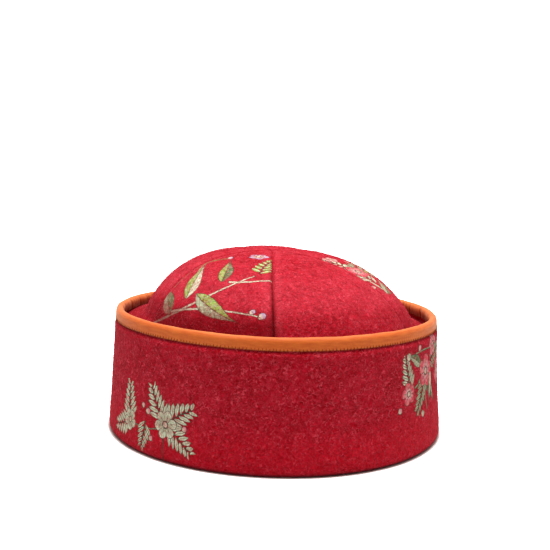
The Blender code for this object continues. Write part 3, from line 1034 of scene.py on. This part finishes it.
def make_binding(material):
    """The rolled edge: smooth outside, puckered on its inner side where the curve takes up its fullness."""
    azimuth = np.linspace(-pi, pi, BINDING_COLUMNS, endpoint=False)
    top = felt_top(azimuth)
    foot = binding_foot(azimuth)
    rim = rim_height(azimuth)
    felt = CUFF_WALL - BINDING_PINCH
    crest = cuff_inset(azimuth, top) + BINDING_PINCH
    low = cuff_inset(azimuth, foot) + BINDING_PINCH
    outside = SEAM_GAP + BINDING_WALL
    reach = 0.5 * felt + outside
    middle = crest + 0.5 * felt
    spring = top - BINDING_SPRING_DROP
    turn = np.linspace(0.0, pi, BINDING_ROLL_ROWS)[:, None]
    roll_inset = middle - reach * np.cos(turn)
    roll_height = spring + (rim - spring) * np.sin(turn)
    down = np.linspace(0.0, 1.0, BINDING_SIDE_ROWS, endpoint=False)[:, None]
    outer_inset = (low - outside) * (1.0 - down) + (crest - outside) * down
    outer_height = foot * (1.0 - down) + spring * down
    inner_inset = (crest + felt + outside) * down[::-1] + (low + felt + outside) * (1.0 - down[::-1])
    inner_height = spring * down[::-1] + foot * (1.0 - down[::-1])
    behind = felt + SEAM_GAP
    tuck_inset = np.stack([low + behind, crest + behind, crest - SEAM_GAP, low - SEAM_GAP])
    tuck_height = np.stack([foot, top + SEAM_GAP, top + SEAM_GAP, foot])
    inset = np.concatenate([outer_inset, roll_inset, inner_inset, tuck_inset])
    height = np.concatenate([outer_height, roll_height, inner_height, tuck_height])
    skin_rows = len(outer_inset) + len(roll_inset) + len(inner_inset)
    azimuths = np.broadcast_to(azimuth, inset.shape)
    points = foot_point(inset, azimuths, height)
    along = azimuth * FOOT_HALF_WIDTH
    stitch = np.cos(FULL_TURN * along / STITCH_PITCH)
    across = np.linspace(0.0, 1.0, skin_rows)[:, None]
    outer_edge = bell(across, OUTER_EDGE_SPAN)
    inner_edge = bell(1.0 - across, INNER_EDGE_SPAN)
    inner_edge_tight = bell(1.0 - across, INNER_EDGE_TIGHT_SPAN)
    flat = np.stack([along, 0 * along, 0 * along], axis=-1)
    pleats = 0.7 * noise(flat, 5.2 * MM, 11) + 0.4 * noise(flat, 2.3 * MM, 12)
    slant = flat[None] + np.array([FOLD_SLANT, 0.0, 0.0]) * across[:, None]
    fold = np.maximum(1.0 - 2.6 * np.abs(noise(slant, 3.1 * MM, 14)), 0.0) ** 2
    ripple = noise(flat, 9.0 * MM, 13)
    pull = np.maximum(stitch, 0.0) ** 2
    push = (PLEAT_RISE * pleats - FOLD_DEPTH * fold) * MM * inner_edge + RIPPLE_DEPTH * ripple
    for edge, dent, sink in zip((outer_edge, inner_edge_tight), STITCH_DENT, EDGE_SINK):
        push = push + (dent * stitch - sink) * edge
    points[:skin_rows] += grid_normals(points[:skin_rows]) * push[..., None]
    points[:skin_rows, :, 2] += (STITCH_PULL * pull + RIPPLE_PULL * ripple) * MM * outer_edge
    rows, columns = inset.shape
    quads, steps = grid_quads(rows, columns, closed=True)
    piece = mesh_object("binding_roll", points.reshape(-1, 3), [quads], [material])
    u = np.append(along, pi * FOOT_HALF_WIDTH)
    run = distances(points[:skin_rows, 0])
    v = np.append(run, np.full(rows + 1 - skin_rows, run[-1]))
    edge = np.minimum(v, run[-1] - v)
    pleated = np.zeros((rows, columns))
    pleated[:skin_rows] = fold * smooth(inner_edge * 2.2)
    pleated = pleated[steps[..., 0] % rows, steps[..., 1] % columns]
    set_uv(piece, np.stack([u[steps[..., 1]], v[steps[..., 0]]], axis=-1).reshape(-1, 2))
    set_uv(piece, np.stack([pleated, edge[steps[..., 0]]], axis=-1).reshape(-1, 2), "edge")
    settle(piece, "cuff_binding")
    return points[:skin_rows]


STITCH_REACH = 1.35 * MM
STITCH_BELOW = 0.45 * MM
STITCH_RADIUS = 0.15 * MM
STITCH_RINGS = 6
STITCH_SIDES = 6
STITCH_LEAN = 0.16 * MM
STITCH_ARCH = 0.10 * MM
STITCH_SINK = 0.04 * MM


def make_stitches(skin, material):
    """Short upright stitches that hold the binding's outer edge down on the felt."""
    count = round(FULL_TURN * FOOT_HALF_WIDTH / STITCH_PITCH)
    azimuth = (np.arange(count) * STITCH_PITCH / FOOT_HALF_WIDTH + pi) % FULL_TURN - pi
    column = np.round((azimuth + pi) / FULL_TURN * BINDING_COLUMNS).astype(int) % BINDING_COLUMNS
    climbs = np.linspace(0.0, 1.0, STITCH_RINGS)
    height = binding_foot(azimuth)[:, None] + (STITCH_BELOW + STITCH_REACH) * climbs - STITCH_BELOW
    low, high = skin[0, column][:, None], skin[BINDING_SIDE_ROWS, column][:, None]
    share = np.clip((height - low[..., 2]) / (high - low)[..., 2], -0.25, 1.0)
    path = low + (high - low) * share[..., None]
    out = unit(plan_point(FOOT_HALF_DEPTH, FOOT_HALF_WIDTH, azimuth, 0.0))
    along = np.cross(out, (0.0, 0.0, 1.0))
    lean = STITCH_LEAN * noise(np.stack([azimuth * 50.0, azimuth, azimuth], axis=-1), 1.0, 51)
    path = path + along[:, None] * (lean[:, None] * (climbs - 0.5))[..., None]
    path = path + out[:, None] * (STITCH_ARCH * np.sin(pi * climbs) - STITCH_SINK)[None, :, None]
    radii = STITCH_RADIUS * np.sin(pi * (0.08 + 0.84 * climbs)) ** 0.5
    make_strands("binding_stitches", path, radii, out, STITCH_SIDES, [material])


SATIN = (0.740, 0.150, 0.016)
SATIN_DEEP = (0.620, 0.100, 0.008)
SATIN_PALE = (0.900, 0.270, 0.070)
SATIN_SHADE = (0.200, 0.022, 0.004)
THREAD = (0.300, 0.048, 0.012)


def binding_material():
    """Smooth orange binding with a fine grain, a painted highlight on its crest, and painted shade in its
    folds, along its stitched edges and low on its inner side.
    """
    material, shader = new_material("binding_satin")
    tree = material.node_tree
    u, v, _ = split(uv_wire(tree))
    pleated, edge, _ = split(uv_wire(tree, "edge"))
    grain = noise_wire(join(u, v, 0.0), 0.35 * MM, detail=2.0)
    streak = noise_wire(join(u * 0.35, v * 2.2, 0.0), 2.4 * MM, detail=2.0)
    tone = noise_wire(texture_wire(tree, "Object"), 22.0 * MM, detail=1.0)
    tuft = noise_wire(join(u, 0.0, 0.0), 1.1 * MM, detail=2.0)
    uneven = v + (tuft - 0.5) * (3.0 * MM)
    colour = layered(
        mixed(eased(streak, 0.25, 0.75), SATIN_DEEP, SATIN),
        (eased(tone, 0.4, 0.8) * 0.20, SATIN_PALE),
        (eased(grain, 0.5, 0.9) * 0.16, SATIN_PALE),
        # Painted highlight: paler over the roll's crest and its inner side, where the light falls on it
        (eased(v, 6.0 * MM, 10.0 * MM) * 0.45, SATIN_PALE),
        # Painted shade: dark along both stitched edges, in the folds of the inner pleats and low on the
        # inner side beside the crown
        (eased(edge, 0.60 * MM, 0.10 * MM) * (0.20 + tuft * 0.7), SATIN_SHADE),
        (pleated * 0.60, SATIN_SHADE),
        (eased(uneven, 9.5 * MM, 14.5 * MM) * 0.9, SATIN_SHADE),
    )
    inputs = {
        "Base Color": colour,
        "Roughness": 0.48 + grain * 0.16,
        "Specular IOR Level": 0.28,
        "Sheen Weight": 0.33,
        "Sheen Roughness": 0.30,
        "Sheen Tint": (1.0, 0.74, 0.48, 1.0),
        "Normal": relief_wire(grain * 0.6 + streak * 0.8, 0.10 * MM),
    }
    fill(shader, inputs)
    return material


def thread_material():
    """Twisted thread, darker than the binding."""
    material, shader = new_material("stitch_thread")
    twist = noise_wire(texture_wire(material.node_tree, "Object"), 0.25 * MM, detail=2.0)
    inputs = {
        "Base Color": mixed(eased(twist, 0.35, 0.65), SATIN_SHADE, THREAD),
        "Roughness": 0.9,
        "Specular IOR Level": 0.1,
        "Normal": relief_wire(twist, 0.05 * MM),
    }
    fill(shader, inputs)
    return material


# Studio


FLOOR_SIZE = 8.0
FLOOR_GREY = (0.52, 0.52, 0.52)
FLOOR_SHOWN = (1.9, 1.9, 1.9)
FLOOR_PAINTED_SHADOW = (0.42, 0.29, 0.27)
CONTACT_REACH = 6.0 * MM
BACKDROP = (1.15, 1.15, 1.15)
SKY_DARK = (0.02, 0.02, 0.021)
SKY_BRIGHT = (1.95, 1.95, 1.95)
SOFTBOX_PLACE = Vector((0.06, 0.0, 1.6))
SOFTBOX_AIM = Vector((0.0, 0.0, 0.05))
SOFTBOX_SIZE = 1.2
SOFTBOX_POWER = 25.0


def make_stage():
    """A pale floor with a painted contact shadow, from ambient occlusion, where the hat stands on it."""
    bpy.ops.mesh.primitive_plane_add(size=FLOOR_SIZE, location=(0.0, 0.0, 0.0))
    floor = bpy.context.object
    floor.name = "studio_floor"
    material, shader = new_material("studio_floor")
    tree = material.node_tree
    seen = wired(tree, "LightPath", "Is Camera Ray")
    # Painted contact shadow: the floor's colour darkens by ambient occlusion close to the hat
    clear = eased(wired(tree, "AmbientOcclusion", "AO", {"Distance": CONTACT_REACH}), 0.46, 0.82)
    colour = mixed(seen, FLOOR_GREY, mixed(clear, FLOOR_PAINTED_SHADOW, FLOOR_SHOWN))
    fill(tree.nodes["Material Output"], {"Surface": wired(tree, "BsdfDiffuse", 0, {"Color": colour})})
    tree.nodes.remove(shader)
    floor.data.materials.append(material)


def make_world():
    """A white backdrop to the camera, and to all else a sky bright overhead, behind and at the sides."""
    world = bpy.data.worlds.new("studio")
    bpy.context.scene.world = world
    world.use_nodes = True
    tree = world.node_tree
    aside, back, up = split(texture_wire(tree, "Generated"))
    overhead = eased(up, 0.30, 1.15)
    sides = eased(apply(aside, "ABSOLUTE"), 0.55, 1.0) * 0.42
    around = sums(eased(back, -0.10, 0.95) * 0.42, sides, "MAXIMUM") * eased(up, -0.02, 0.10)
    glow = mixed(sums(overhead, around, "MAXIMUM"), SKY_DARK, SKY_BRIGHT)
    colour = mixed(wired(tree, "LightPath", "Is Camera Ray"), glow, BACKDROP)
    fill(tree.nodes["Background"], {"Color": colour, "Strength": 1.0})


def add_softbox():
    """A square lamp overhead that points at the hat."""
    lamp = bpy.data.lights.new("overhead_softbox", "AREA")
    lamp.shape = "SQUARE"
    lamp.size = SOFTBOX_SIZE
    lamp.energy = SOFTBOX_POWER
    holder = add_object(lamp.name, lamp)
    holder.location = SOFTBOX_PLACE
    holder.rotation_euler = (SOFTBOX_AIM - SOFTBOX_PLACE).to_track_quat("-Z", "Y").to_euler()


def make_camera():
    """The camera at the photograph's distance, height and tilt."""
    data = bpy.data.cameras.new("camera")
    data.lens = CAMERA_LENS_MM
    data.sensor_width = 36.0
    data.shift_x, data.shift_y = CAMERA_SHIFT
    camera = add_object("camera", data)
    tilt = radians(CAMERA_ELEVATION)
    target = Vector((0.0, 0.0, CAMERA_TARGET_HEIGHT))
    away = Vector((0.0, -cos(tilt), sin(tilt))) * CAMERA_DISTANCE
    turned = (-away).to_track_quat("-Z", "Y").to_matrix().to_4x4()
    roll = Matrix.Rotation(radians(CAMERA_ROLL), 4, "Z")
    camera.matrix_world = Matrix.Translation(target + away) @ turned @ roll
    bpy.context.scene.camera = camera


def main():
    make_camera()
    make_stage()
    make_world()
    add_softbox()
    bpy.context.scene.view_settings.view_transform = "Standard"
    bpy.context.scene.view_settings.look = "None"
    fibres = fuzz_materials()
    skin, out = make_cuff(felt_material("felt_cuff", 0.0, CUFF_DESIGN, folded=True))
    make_fuzz("cuff_fuzz", skin, out, CUFF_FIBRES, fibres, seed=101)
    for index, (name, first, last, painted_hollow_shade, design) in enumerate(PANELS):
        felt = felt_material("felt_" + name, 1.0, design, painted_hollow_shade)
        skin, out = make_panel(name + "_felt", radians(first), radians(last), felt)
        make_fuzz(name + "_fuzz", skin, out, PANEL_FIBRES, fibres, seed=102 + index)
    skin = make_binding(binding_material())
    make_stitches(skin, thread_material())


main()
